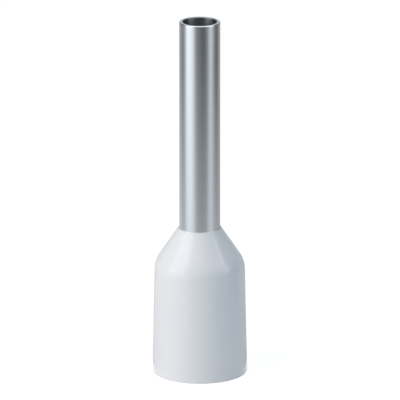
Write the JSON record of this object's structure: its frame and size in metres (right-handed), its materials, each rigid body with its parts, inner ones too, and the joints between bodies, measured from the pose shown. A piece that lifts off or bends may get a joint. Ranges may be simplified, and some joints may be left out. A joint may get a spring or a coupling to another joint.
{
  "type": "wire ferrule",
  "caption": "Insulated wire ferrule: a tin-plated copper tube, belled at one end, seated in a white moulded collar with a conical shoulder, to crimp on a stranded wire's end.",
  "frame": {"origin": "centre of the collar's open mouth, on the surface that the ferrule stands on", "axes": "+Z along the common axis, from the collar's mouth to the tube's tip; round about Z, so +X and +Y are free"},
  "size_m": [0.0034, 0.0034, 0.0133],
  "materials": {
    "tinned_copper": "bright tin plating on a drawn copper tube, satin, with fine lengthwise drawing lines",
    "collar_plastic": "white moulded polypropylene, smooth and semi-gloss, faintly translucent"
  },
  "bodies": {
    "root": {"contact_tube": "tinned_copper", "insulating_collar": "collar_plastic"}
  },
  "joints": []
}
